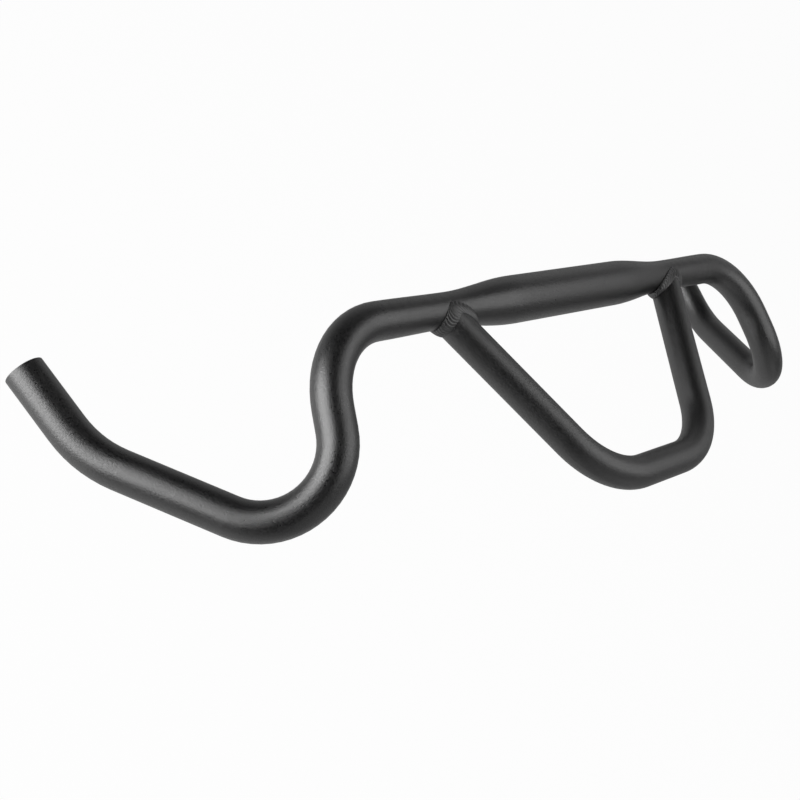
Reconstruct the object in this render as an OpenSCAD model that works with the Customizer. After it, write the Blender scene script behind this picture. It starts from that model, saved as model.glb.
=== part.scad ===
// Gravel drop handlebar: one bent and butted aluminium tube with widely flared drops,
// and a second, lighter tube bent to a loop and welded to the front of the tops.
// Millimetres. X runs across the bar, -Y is the direction of travel and +Z is up.
// The origin is the middle of the stem clamp, on the axis of the bar.

/* [Bar tube] */
// Diameter of the barrel in the middle, which the stem grips
clamp_d = 31.8; // [31.8:0.1:35]
// Half the length of the barrel at its full diameter
clamp_half = 58; // [35:1:66]
// Length over which the barrel draws down to the neck, on each side
taper_len = 66; // [50:1:70]
// Diameter of the necks, where the loop is welded on
neck_d = 22.6; // [22.6:0.1:24.6]
// Diameter of the bends and drops, which takes brake lever clamps
grip_d = 23.8; // [23:0.1:24.6]
// Wall thickness of the necks, bends and drops
bar_wall = 1.8; // [1.4:0.1:3]
// Wall thickness of the barrel, which is butted for the stem
barrel_wall = 2.4; // [1.6:0.1:4]

/* [Bend table of the bar, from the middle out] */
// Half the straight length of the tops
tops_half = 186; // [170:1:240]
// Centreline radius of the bend from the tops into the reach
reach_bend_r = 54; // [40:1:70]
// Angle of that bend
reach_bend_angle = 80; // [70:0.5:88]
// Slope of the plane of that bend, down from level
reach_slope = 12.5; // [0:0.5:20]
// Straight length between the reach bend and the hook
reach_len = 12.5; // [8:0.5:30]
// Centreline radius of the hook
hook_r = 42; // [36:1:55]
// Angle of the hook
hook_angle = 123.5; // [110:0.5:135]
// Turn of the tube in the bender between the reach bend and the hook
hook_turn = 133.5; // [120:0.5:150]
// Straight length of the lower grip
grip_len = 68; // [50:1:90]
// Centreline radius of the last bend
tail_bend_r = 74; // [60:1:90]
// Angle of the last bend
tail_bend_angle = 30; // [10:0.5:40]
// Turn of the tube in the bender between the hook and the last bend
tail_turn = 10; // [-10:0.5:20]
// Straight length at the end, which holds the end plug
tail_len = 41; // [30:1:60]

/* [Loop tube] */
// Diameter of the loop tube
loop_d = 22.2; // [19:0.1:22.2]
// Wall thickness of the loop tube
loop_wall = 1.6; // [1.2:0.1:2.5]
// Distance of each leg's axis from the middle, where it meets the axis of the bar
weld_x = 128; // [115:1:150]
// Distance of the loop's front corners from the middle, before they are rounded
front_half = 60; // [45:1:80]
// Distance of the loop's crossbar in front of the bar, axis to axis
loop_reach = 136; // [110:1:160]
// Centreline radius of the loop's corners
loop_bend_r = 60; // [45:1:65]

/* [Welds] */
// Gap left between the coped end of a leg and the bar, under the weld
cope_gap = 0.2; // [0.1:0.05:0.4]
// Width of the weld on each of the two tubes, measured from the root
weld_leg = 5.2; // [3:0.1:7]
// Height of the weld's crown over the straight line between its toes
weld_crown = 1.7; // [0.8:0.1:2.5]
// Number of ripples round one weld
ripples = 26; // [16:1:36]
// Height of one ripple
ripple_h = 0.6; // [0.2:0.05:0.8]
// Gap between the faceted underside of the weld and the round tubes
weld_seat = 0.1; // [0.06:0.01:0.2]

/* [Hidden] */

$fn = 96;
clamp_r = clamp_d / 2;
neck_r = neck_d / 2;
grip_r = grip_d / 2;
loop_r = loop_d / 2;
taper_end = clamp_half + taper_len;

// The hairline where a bend of a tube starts or ends, and the ring that closes it
seam_gap = 0.01;
seam_ring_len = 0.8;

// Straight steps that draw the taper of the barrel and the flare from neck to grip
taper_steps = 18;
flare_steps = 8;

// The leg leaves the axis of the bar at weld_x and runs to the front corner of the loop
leg_angle = atan2(loop_reach, weld_x - front_half);
corner_tangent = loop_bend_r * tan(leg_angle / 2);
leg_len = norm([weld_x - front_half, loop_reach]) - corner_tangent;
leg_dir = [-cos(leg_angle), -sin(leg_angle), 0];
leg_side = [sin(leg_angle), -cos(leg_angle), 0];

// The mesh of a weld: rings per ripple, points along its crown and points on each tube
rings_per_ripple = 6;
crown_points = 8;
back_points = 3;
scallop = 0.07;
solve_rounds = 6;
slope_step = 0.5;

black = [0.13, 0.13, 0.14];
weld_black = [0.17, 0.17, 0.18];

// A smooth step from 0 to 1, level at both ends
function ease(t) = (1 - cos(180 * min(max(t, 0), 1))) / 2;

// Outer radius and wall of the tops at a distance x from the middle
function top_r(x) = let (a = abs(x))
    a < taper_end
    ? clamp_r + (neck_r - clamp_r) * ease((a - clamp_half) / taper_len)
    : neck_r + (grip_r - neck_r) * ease((a - taper_end) / (tops_half - taper_end));
function top_wall(x) = barrel_wall + (bar_wall - barrel_wall) * ease((abs(x) - clamp_half) / taper_len);

function reversed(v) = [for (i = [len(v) - 1 : -1 : 0]) v[i]];

// Stations along the tops, from one end to the other
function half_stations() = concat(
    [for (i = [0 : taper_steps]) clamp_half + taper_len * i / taper_steps],
    [for (i = [1 : flare_steps]) taper_end + (tops_half - taper_end) * i / flare_steps]);
function top_stations() = concat(-reversed(half_stations()), half_stations());

module tops() {
    outside = [for (x = top_stations()) [top_r(x), x]];
    inside = [for (x = top_stations()) [top_r(x) - top_wall(x), x]];
    rotate([0, 90, 0])
        rotate_extrude()
            polygon(concat(outside, reversed(inside)));
}

// The tops as a solid body, a little larger all round, which copes the legs
module tops_cutter() {
    outside = [for (x = top_stations()) [top_r(x) + cope_gap, x]];
    rotate([0, 90, 0])
        rotate_extrude()
            polygon(concat([[0, -tops_half]], outside, [[0, tops_half]]));
}

module tube_section(r, wall) {
    difference() {
        circle(r);
        circle(r - wall);
    }
}

// A straight tube along +Z, and whatever follows it
module straight(r, wall, length) {
    linear_extrude(height = length) tube_section(r, wall);
    translate([0, 0, length]) children();
}

// The seam between two lengths of one tube: a hairline, closed by a ring inside the wall
module seam(r, wall) {
    translate([0, 0, -seam_ring_len / 2])
        linear_extrude(height = seam_ring_len)
            tube_section(r - wall / 4, wall / 2);
    translate([0, 0, seam_gap]) children();
}

// A bend that starts along +Z and turns towards +X, and whatever follows it
module bend(r, wall, bend_r, angle) {
    seam(r, wall) {
        translate([bend_r, 0, 0])
            rotate([90, 0, 180])
                rotate_extrude(angle = angle)
                    translate([bend_r, 0]) tube_section(r, wall);
        translate([bend_r * (1 - cos(angle)), 0, bend_r * sin(angle)])
            rotate([0, angle, 0])
                seam(r, wall) children();
    }
}

// One drop, drawn as the bender makes it: feed, turn the tube, bend, feed
module drop() {
    translate([tops_half, 0, 0])
        rotate([-90, 0, 0])
            rotate([0, 90, 0])
                rotate([0, 0, reach_slope])
                    bend(grip_r, bar_wall, reach_bend_r, reach_bend_angle)
                        straight(grip_r, bar_wall, reach_len)
                            rotate([0, 0, hook_turn])
                                bend(grip_r, bar_wall, hook_r, hook_angle)
                                    straight(grip_r, bar_wall, grip_len)
                                        rotate([0, 0, tail_turn])
                                            bend(grip_r, bar_wall, tail_bend_r, tail_bend_angle)
                                                straight(grip_r, bar_wall, tail_len);
}

module bar_tube() {
    color(black) {
        tops();
        drop();
        mirror([1, 0, 0]) drop();
    }
}

// Half of the loop, from the middle of the crossbar out
module loop_half() {
    translate([0, -loop_reach, 0])
        rotate([90, 0, 0])
            rotate([0, 90, 0])
                straight(loop_r, loop_wall, front_half - corner_tangent)
                    bend(loop_r, loop_wall, loop_bend_r, leg_angle)
                        straight(loop_r, loop_wall, leg_len);
}

module loop_tube() {
    color(black)
        difference() {
            union() {
                loop_half();
                mirror([1, 0, 0]) loop_half();
            }
            tops_cutter();
        }
}

// The root of the weld: where the outside of the leg meets the outside of the bar, seen at
// angle a round the leg. x starts as a guess and is worked out again with each round.
function root_y(a, x) = -sqrt(max(pow(top_r(x) + weld_seat, 2) - pow((loop_r + weld_seat) * sin(a), 2), 0));
function root_along(a, x) = (root_y(a, x) - (loop_r + weld_seat) * cos(a) * leg_side[1]) / leg_dir[1];
function root_x(a, x, rounds) = let (
        t = root_along(a, x),
        next = weld_x + t * leg_dir[0] + (loop_r + weld_seat) * cos(a) * leg_side[0])
    rounds == 0 ? next : root_x(a, next, rounds - 1);
function root_point(a) = let (x = root_x(a, weld_x, solve_rounds))
    [x, root_y(a, x), (loop_r + weld_seat) * sin(a)];

function unit(v) = v / norm(v);

// Outward direction of the leg and of the bar at a point of the root
function leg_normal(a) = cos(a) * leg_side + sin(a) * [0, 0, 1];
function bar_normal(p) = unit([0, p[1], p[2]]);

// A point on the bar, reached from p by going a distance s over its surface along dir
function on_bar(p, dir, s) = let (
        r0 = top_r(p[0]) + weld_seat,
        x = p[0] + s * dir[0],
        r = top_r(x) + weld_seat,
        round_dir = cross([1, 0, 0], bar_normal(p)),
        turn = s * (dir * round_dir) / r0 * 180 / PI,
        n = bar_normal(p) * cos(turn) + round_dir * sin(turn))
    [x, r * n[1], r * n[2]];

// Height of the crown at angle a: each ripple rises slowly and drops at its edge
function ripple(a) = let (u = a / 360 * ripples, f = u - floor(u)) sin(180 * pow(f, 1.6));

// One cross-section of the weld: along the leg, down to the root, out over the bar, and
// back over the crown
function weld_ring(a) = let (
        p = root_point(a),
        along = unit(root_point(a + slope_step) - root_point(a - slope_step)),
        nb = bar_normal(p),
        away = unit(cross(nb, along)) * (cross(nb, along) * leg_normal(a) > 0 ? 1 : -1),
        size = weld_leg * (1 - scallop + scallop * ripple(a)),
        leg_toe = p + size * leg_dir,
        bar_toe = on_bar(p, away, size),
        n = unit(leg_normal(a) + nb),
        crown = weld_crown - ripple_h + ripple_h * ripple(a))
    concat(
        [for (i = [0 : back_points - 1]) p + size * (1 - i / back_points) * leg_dir],
        [for (i = [0 : back_points - 1]) on_bar(p, away, size * i / back_points)],
        [for (i = [0 : crown_points]) let (s = i / crown_points, c = 2 * s - 1)
            bar_toe + (leg_toe - bar_toe) * s * (i == crown_points ? 0.999 : 1)
            + n * crown * sqrt(max(1 - c * c, 0))]);

module weld_bead() {
    rings = ripples * rings_per_ripple;
    points = [for (k = [0 : rings - 1]) weld_ring(360 * k / rings)];
    n = len(points[0]);
    faces = [for (k = [0 : rings - 1]) for (i = [0 : n - 1])
        let (k2 = (k + 1) % rings, i2 = (i + 1) % n)
            each [[k * n + i, k * n + i2, k2 * n + i2], [k * n + i, k2 * n + i2, k2 * n + i]]];
    color(weld_black) polyhedron([for (ring = points) each ring], faces);
}

module weld_bead_left() {
    mirror([1, 0, 0]) weld_bead();
}

module weld_bead_right() {
    weld_bead();
}

bar_tube();
loop_tube();
weld_bead_left();
weld_bead_right();
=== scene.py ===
"""Looks of the gravel drop handlebar: satin black finish, rippled welds, plain studio.
Metres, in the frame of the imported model. X runs across the bar, -Y forward, +Z up."""
import bpy
import numpy as np
from math import cos, pi, radians, sin
from mathutils import Matrix, Vector


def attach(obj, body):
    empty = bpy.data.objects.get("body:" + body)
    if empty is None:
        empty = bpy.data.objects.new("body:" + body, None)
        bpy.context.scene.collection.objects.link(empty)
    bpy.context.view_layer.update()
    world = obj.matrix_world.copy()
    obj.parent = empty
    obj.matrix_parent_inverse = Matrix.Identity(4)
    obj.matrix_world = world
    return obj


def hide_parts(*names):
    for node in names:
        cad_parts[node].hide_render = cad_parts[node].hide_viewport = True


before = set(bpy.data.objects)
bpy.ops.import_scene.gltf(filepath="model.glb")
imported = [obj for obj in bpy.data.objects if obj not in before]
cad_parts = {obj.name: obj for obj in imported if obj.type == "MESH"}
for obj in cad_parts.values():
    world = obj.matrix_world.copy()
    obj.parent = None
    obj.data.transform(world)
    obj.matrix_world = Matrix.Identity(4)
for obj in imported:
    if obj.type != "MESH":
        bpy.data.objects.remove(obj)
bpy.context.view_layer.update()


# The camera that was fitted to the photograph: its place, and its axes in the part's frame
CAMERA_AT = (-0.6998, -0.21624, 0.46391)
RIGHT = Vector((0.68267, -0.44545, 0.57926))
UP = Vector((0.15765, 0.86382, 0.4785))
BACK = Vector((-0.71352, -0.23533, 0.65993))
LENS_MM = 55.883
SENSOR_MM = 36.0
CLIP_START, CLIP_END = 0.01, 50


def add_camera():
    data = bpy.data.cameras.new("photo_camera")
    data.sensor_fit = "HORIZONTAL"
    data.sensor_width = SENSOR_MM
    data.lens = LENS_MM
    data.clip_start = CLIP_START
    data.clip_end = CLIP_END
    obj = bpy.data.objects.new("photo_camera", data)
    bpy.context.scene.collection.objects.link(obj)
    turn = Matrix((RIGHT, UP, BACK)).transposed().to_quaternion()
    obj.matrix_world = Matrix.Translation(CAMERA_AT) @ turn.to_matrix().to_4x4()
    bpy.context.scene.camera = obj


def new_material(name):
    material = bpy.data.materials.new(name)
    material.use_nodes = True
    tree = material.node_tree
    return material, tree, tree.nodes["Principled BSDF"]


def noise(tree, where, scale, detail, rough=0.5):
    node = tree.nodes.new("ShaderNodeTexNoise")
    node.inputs["Scale"].default_value = scale
    node.inputs["Detail"].default_value = detail
    node.inputs["Roughness"].default_value = rough
    tree.links.new(where, node.inputs["Vector"])
    return node.outputs["Fac"]


def spread(tree, value, low, high, to_low, to_high):
    node = tree.nodes.new("ShaderNodeMapRange")
    limits = {"From Min": low, "From Max": high, "To Min": to_low, "To Max": to_high}
    for name, number in limits.items():
        node.inputs[name].default_value = number
    tree.links.new(value, node.inputs["Value"])
    return node.outputs["Result"]


def blend_colours(tree, factor, dark, light):
    node = tree.nodes.new("ShaderNodeMix")
    node.data_type = "RGBA"
    node.inputs["A"].default_value = (*dark, 1)
    node.inputs["B"].default_value = (*light, 1)
    tree.links.new(factor, node.inputs["Factor"])
    return node.outputs["Result"]


def add_bump(tree, height, strength, distance, under=None):
    node = tree.nodes.new("ShaderNodeBump")
    node.inputs["Strength"].default_value = strength
    node.inputs["Distance"].default_value = distance
    tree.links.new(height, node.inputs["Height"])
    if under:
        tree.links.new(under, node.inputs["Normal"])
    return node.outputs["Normal"]


# Noise scales, in features per metre
FINE_GRAIN, COARSE_GRAIN, CLOUDS = 2600, 1050, 22
GRAIN_DETAIL, GRAIN_ROUGH = 2, 0.6
FINE_DEPTH, COARSE_DEPTH = 0.00015, 0.0003      # metres
SPARKLE = 0.1           # how far the grain changes the roughness, either way
BLACK_IOR = 1.9         # the anodised film mirrors more than plain paint


# Blasted and anodised black: a fine grain over a coarser one, and slow changes in sheen where
# the blasting went over the tube unevenly
def satin_black(name, dark, light, rough_low, rough_high, grain):
    material, tree, shader = new_material(name)
    at = tree.nodes.new("ShaderNodeTexCoord").outputs["Object"]
    fine = noise(tree, at, FINE_GRAIN, GRAIN_DETAIL, GRAIN_ROUGH)
    coarse = noise(tree, at, COARSE_GRAIN, GRAIN_DETAIL, GRAIN_ROUGH)
    cloud = noise(tree, at, CLOUDS, 3)
    tone = spread(tree, coarse, 0.35, 0.7, 0, 1)
    tree.links.new(blend_colours(tree, tone, dark, light), shader.inputs["Base Color"])
    sheen = spread(tree, cloud, 0.3, 0.7, rough_low, rough_high)
    sparkle = spread(tree, coarse, 0.3, 0.7, -SPARKLE, SPARKLE)
    total = tree.nodes.new("ShaderNodeMath")
    total.operation = "ADD"
    tree.links.new(sheen, total.inputs[0])
    tree.links.new(sparkle, total.inputs[1])
    tree.links.new(total.outputs["Value"], shader.inputs["Roughness"])
    normal = add_bump(tree, coarse, grain, COARSE_DEPTH)
    normal = add_bump(tree, fine, grain, FINE_DEPTH, normal)
    tree.links.new(normal, shader.inputs["Normal"])
    shader.inputs["IOR"].default_value = BLACK_IOR
    return material


# The bar is held by its clamp, so the floor lies well below it
FLOOR_Z = -0.8
FLOOR_HALF = 30.0
FLOOR_WHITE = 0.86
FLOOR_GLOW = {"Is Camera Ray": 0.97, "Is Glossy Ray": 0.26, "Is Transmission Ray": 0.26}
AIM = Vector((-0.1, 0, -0.05))      # what the lamps face
WORLD_BEHIND, WORLD_IN_FRONT = 0.55, 0.015      # strength behind the bar and on the camera's side


def direction(azimuth, elevation):
    """A direction given as the camera sees it: degrees to the right and up."""
    a, e = radians(azimuth), radians(elevation)
    return RIGHT * (sin(a) * cos(e)) + UP * sin(e) + BACK * (cos(a) * cos(e))


def add_softbox(name, azimuth, elevation, far, width, height, radiance):
    """A lamp of that width and height, so far from the bar, with its edges along the camera's."""
    data = bpy.data.lights.new(name, "AREA")
    data.shape = "RECTANGLE"
    data.size, data.size_y = width, height
    data.energy = radiance * pi * width * height
    obj = bpy.data.objects.new(name, data)
    way = direction(azimuth, elevation)
    across = direction(azimuth + 90, 0)
    turn = Matrix((across, way.cross(across), way)).transposed().to_4x4()
    obj.matrix_world = Matrix.Translation(AIM + way * far) @ turn
    bpy.context.scene.collection.objects.link(obj)
    obj.visible_camera = False


def add_floor():
    """White, and mostly glowing for the camera, so that it hardly shows against the background."""
    mesh = bpy.data.meshes.new("floor")
    corners = ((-1, -1), (1, -1), (1, 1), (-1, 1))
    points = [(x * FLOOR_HALF, y * FLOOR_HALF, FLOOR_Z) for x, y in corners]
    mesh.from_pydata(points, [], [(0, 1, 2, 3)])
    obj = bpy.data.objects.new("floor", mesh)
    bpy.context.scene.collection.objects.link(obj)
    material = bpy.data.materials.new("floor_white")
    material.use_nodes = True
    tree = material.node_tree
    tree.nodes.clear()
    diffuse = tree.nodes.new("ShaderNodeBsdfDiffuse")
    diffuse.inputs["Color"].default_value = (FLOOR_WHITE, FLOOR_WHITE, FLOOR_WHITE, 1)
    glow = tree.nodes.new("ShaderNodeEmission")
    glow.inputs["Strength"].default_value = 1.0
    mix = tree.nodes.new("ShaderNodeMixShader")
    path = tree.nodes.new("ShaderNodeLightPath")
    share = None
    for name, part in FLOOR_GLOW.items():
        node = tree.nodes.new("ShaderNodeMath")
        node.operation = "MULTIPLY_ADD"
        node.inputs[1].default_value = part
        node.inputs[2].default_value = 0
        tree.links.new(path.outputs[name], node.inputs[0])
        if share:
            tree.links.new(share, node.inputs[2])
        share = node.outputs["Value"]
    tree.links.new(share, mix.inputs["Fac"])
    tree.links.new(diffuse.outputs["BSDF"], mix.inputs[1])
    tree.links.new(glow.outputs["Emission"], mix.inputs[2])
    out = tree.nodes.new("ShaderNodeOutputMaterial")
    tree.links.new(mix.outputs["Shader"], out.inputs["Surface"])
    mesh.materials.append(material)


def add_world():
    """White for the camera. It lights the bar from behind, and hardly from the camera's side."""
    world = bpy.data.worlds.new("studio")
    bpy.context.scene.world = world
    world.use_nodes = True
    tree = world.node_tree
    tree.nodes.clear()
    at = tree.nodes.new("ShaderNodeTexCoord").outputs["Generated"]
    dot = tree.nodes.new("ShaderNodeVectorMath")
    dot.operation = "DOT_PRODUCT"
    dot.inputs[1].default_value = BACK
    tree.links.new(at, dot.inputs[0])
    dim = spread(tree, dot.outputs["Value"], -0.8, 0.0, WORLD_BEHIND, WORLD_IN_FRONT)
    dim.node.interpolation_type = "SMOOTHSTEP"
    path = tree.nodes.new("ShaderNodeLightPath")
    strength = tree.nodes.new("ShaderNodeMath")
    strength.operation = "MAXIMUM"
    tree.links.new(dim, strength.inputs[0])
    tree.links.new(path.outputs["Is Camera Ray"], strength.inputs[1])
    back = tree.nodes.new("ShaderNodeBackground")
    back.inputs["Color"].default_value = (1, 1, 1, 1)
    tree.links.new(strength.outputs["Value"], back.inputs["Strength"])
    out = tree.nodes.new("ShaderNodeOutputWorld")
    tree.links.new(back.outputs["Background"], out.inputs["Surface"])


# The weld beads again, finer than their solids: a low fillet from the leg to the bar, with
# crescent ripples. Millimetres, as in the part's source, on the right-hand side of the bar.
CLAMP_R, NECK_R, GRIP_R, LOOP_R = 15.9, 11.3, 11.9, 11.1
CLAMP_HALF, TAPER_LEN, TOPS_HALF = 58, 66, 186
WELD_X, FRONT_HALF, LOOP_REACH = 128, 60, 136
SEAT = 0.1              # gap between the underside of the bead and the tubes
RIPPLES = 40
RINGS = RIPPLES * 9
CROWN_POINTS = 26       # steps across the bead
SEAT_POINTS = 3         # steps along each tube
RIPPLE_H = 0.37
RIPPLE_SKEW = 1.7       # above 1 the steep side of a ripple comes last
CRESCENT = 0.9          # how far the middle of a ripple runs ahead of its ends, in ripples
CROWN = 1.0
EDGE_SLOPE = 6          # the ripples die out within a sixth of the width from each toe
LEG_TOE, LEG_TOE_TOP = 5.0, 2.4     # width on the leg, and what is added at the top and bottom
BAR_TOE, BAR_TOE_TOP = 4.4, -1.9    # the same on the bar
TOE_WAVE = 0.25         # how far each ripple pushes the toes out
CLOSE = 0.999           # the crown stops just short of the leg's toe, which is a point already
MM = 0.001


def ease(t):
    return (1 - np.cos(np.pi * np.clip(t, 0, 1))) / 2


def top_r(x):
    end = CLAMP_HALF + TAPER_LEN
    x = abs(x)
    if x < end:
        return CLAMP_R + (NECK_R - CLAMP_R) * ease((x - CLAMP_HALF) / TAPER_LEN)
    return NECK_R + (GRIP_R - NECK_R) * ease((x - end) / (TOPS_HALF - end))


LEG_ANGLE = np.arctan2(LOOP_REACH, WELD_X - FRONT_HALF)
LEG_DIR = np.array((-np.cos(LEG_ANGLE), -np.sin(LEG_ANGLE), 0))
LEG_SIDE = np.array((np.sin(LEG_ANGLE), -np.cos(LEG_ANGLE), 0))
SOLVE_ROUNDS = 8


def root_point(a):
    """Where the outside of the leg meets the outside of the bar, at angle a round the leg."""
    x = WELD_X
    r = LOOP_R + SEAT
    for _ in range(SOLVE_ROUNDS):
        y = -np.sqrt(max((top_r(x) + SEAT) ** 2 - (r * np.sin(a)) ** 2, 0))
        t = (y - r * np.cos(a) * LEG_SIDE[1]) / LEG_DIR[1]
        x = WELD_X + t * LEG_DIR[0] + r * np.cos(a) * LEG_SIDE[0]
    return np.array((x, y, r * np.sin(a)))


def unit(v):
    return v / np.linalg.norm(v)


def on_bar(p, way, s):
    """The point a distance s from p over the surface of the bar."""
    n = unit(np.array((0, p[1], p[2])))
    x = p[0] + s * way[0]
    round_way = np.cross((1, 0, 0), n)
    turn = s * way.dot(round_way) / (top_r(p[0]) + SEAT)
    n2 = n * np.cos(turn) + round_way * np.sin(turn)
    r = top_r(x) + SEAT
    return np.array((x, r * n2[1], r * n2[2]))


def ripple(u):
    f = u - np.floor(u)
    return np.sin(np.pi * f ** RIPPLE_SKEW)


def weld_ring(a):
    """A section of the bead: along the leg to the root, out over the bar, back over the crown."""
    p = root_point(a)
    along = unit(root_point(a + 0.01) - root_point(a - 0.01))
    nb = unit(np.array((0, p[1], p[2])))
    nl = np.cos(a) * LEG_SIDE + np.sin(a) * np.array((0, 0, 1))
    away = unit(np.cross(nb, along))
    away = away if away.dot(nl) > 0 else -away
    top = np.sin(a) ** 2
    u = a / (2 * np.pi) * RIPPLES
    wave = 0.12 * np.sin(3 * a + 1) + 0.1 * np.sin(7 * a)
    on_leg = LEG_TOE + LEG_TOE_TOP * top + wave + TOE_WAVE * ripple(u)
    off = BAR_TOE + BAR_TOE_TOP * top + wave + TOE_WAVE * ripple(u + 0.3)
    leg_toe = p + on_leg * LEG_DIR
    bar_toe = on_bar(p, away, off)
    n = unit(nl + nb)
    points = [p + on_leg * (1 - i / SEAT_POINTS) * LEG_DIR for i in range(SEAT_POINTS)]
    points += [on_bar(p, away, off * i / SEAT_POINTS) for i in range(SEAT_POINTS)]
    for i in range(CROWN_POINTS + 1):
        q = i / CROWN_POINTS
        arch = 4 * q * (1 - q)
        edge = min(1, EDGE_SLOPE * q, EDGE_SLOPE * (1 - q))
        h = CROWN * np.sqrt(arch) + RIPPLE_H * edge * (ripple(u + CRESCENT * arch) - 1)
        points.append(bar_toe + (leg_toe - bar_toe) * min(q, CLOSE) + n * max(h, 0))
    return points


def add_weld(node, side, material):
    """The bead on the right-hand leg (side 1) or its mirror image on the left-hand one (-1)."""
    rings = [weld_ring(2 * np.pi * k / RINGS) for k in range(RINGS)]
    n = len(rings[0])
    points = [(side * p[0] * MM, p[1] * MM, p[2] * MM) for ring in rings for p in ring]
    faces = []
    for k in range(RINGS):
        here, there = k * n, (k + 1) % RINGS * n
        for i in range(n):
            j = (i + 1) % n
            face = (here + i, here + j, there + j, there + i)
            faces.append(face if side > 0 else face[::-1])
    mesh = bpy.data.meshes.new(node + "_fine")
    mesh.from_pydata(points, [], faces)
    mesh.materials.append(material)
    mesh.polygons.foreach_set("use_smooth", [True] * len(faces))
    obj = bpy.data.objects.new(node + "_fine", mesh)
    bpy.context.scene.collection.objects.link(obj)
    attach(obj, "root")
    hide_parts(node)


add_camera()
add_floor()
add_world()
add_softbox("key", -50, 12, 1.3, 1.3, 1.4, 4.3)
add_softbox("fill", 71, 12, 1.4, 1.5, 1.35, 1.35)
add_softbox("bounce", 62, -44, 1.3, 2.0, 1.0, 0.33)

TUBE_TONES = (0.001, 0.001, 0.0012), (0.007, 0.007, 0.0073)
WELD_TONES = (0.009, 0.009, 0.0095), (0.018, 0.018, 0.018)
bar_black = satin_black("bar_black", *TUBE_TONES, 0.34, 0.40, 0.37)
loop_black = satin_black("loop_black", *TUBE_TONES, 0.37, 0.43, 0.48)
weld_black = satin_black("weld_black", *WELD_TONES, 0.36, 0.44, 0.15)
for name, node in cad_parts.items():
    material = {"bar_tube": bar_black, "loop_tube": loop_black}.get(name, weld_black)
    if node.data.materials:
        for i in range(len(node.data.materials)):
            node.data.materials[i] = material
    else:
        node.data.materials.append(material)

add_weld("weld_bead_right", 1, weld_black)
add_weld("weld_bead_left", -1, weld_black)

bpy.context.scene.view_settings.view_transform = "Standard"
